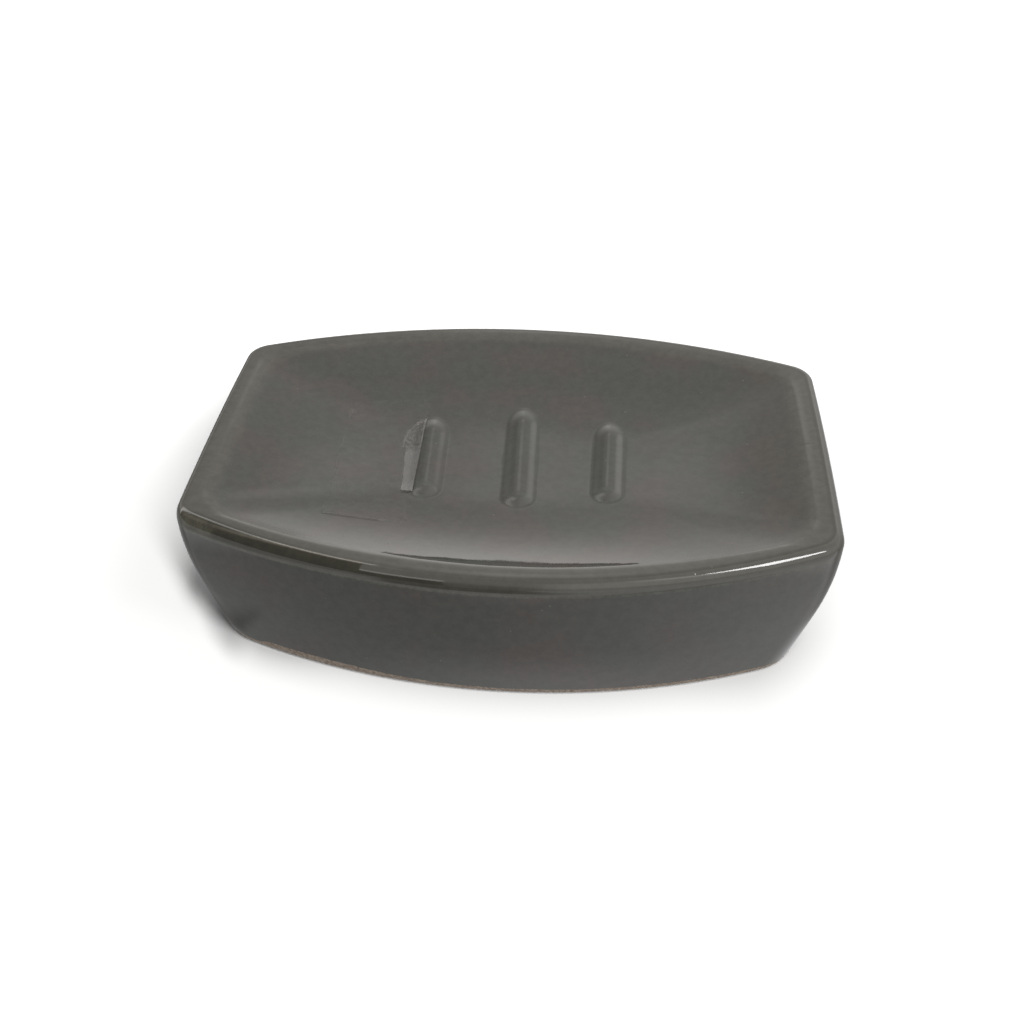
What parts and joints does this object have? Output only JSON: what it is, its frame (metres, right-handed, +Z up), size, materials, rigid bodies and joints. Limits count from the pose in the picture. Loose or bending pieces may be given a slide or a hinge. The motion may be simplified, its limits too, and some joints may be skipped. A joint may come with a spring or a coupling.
{
  "type": "soap dish",
  "caption": "Glazed ceramic soap dish with a shallow dished tray, raised ribs, drafted walls, a recessed foot on clear pads and a blank label film.",
  "frame": {"origin": "centre of the outline, on the counter under the pads", "axes": "+X along the dish to the right, +Y across it away from the viewer, +Z up"},
  "size_m": [0.135, 0.096, 0.0329],
  "materials": {
    "glazed_ceramic": "glossy dark warm grey glaze that breaks to olive brown on the edges, bare tan clay on the foot ring",
    "clear_film": "clear glossy film",
    "clear_pad": "clear soft bumper, satin"
  },
  "bodies": {
    "root": {"dish_body": "glazed_ceramic", "label_film": "clear_film", "pad_front_left": "clear_pad", "pad_front_right": "clear_pad", "pad_back_left": "clear_pad", "pad_back_right": "clear_pad"}
  },
  "joints": []
}
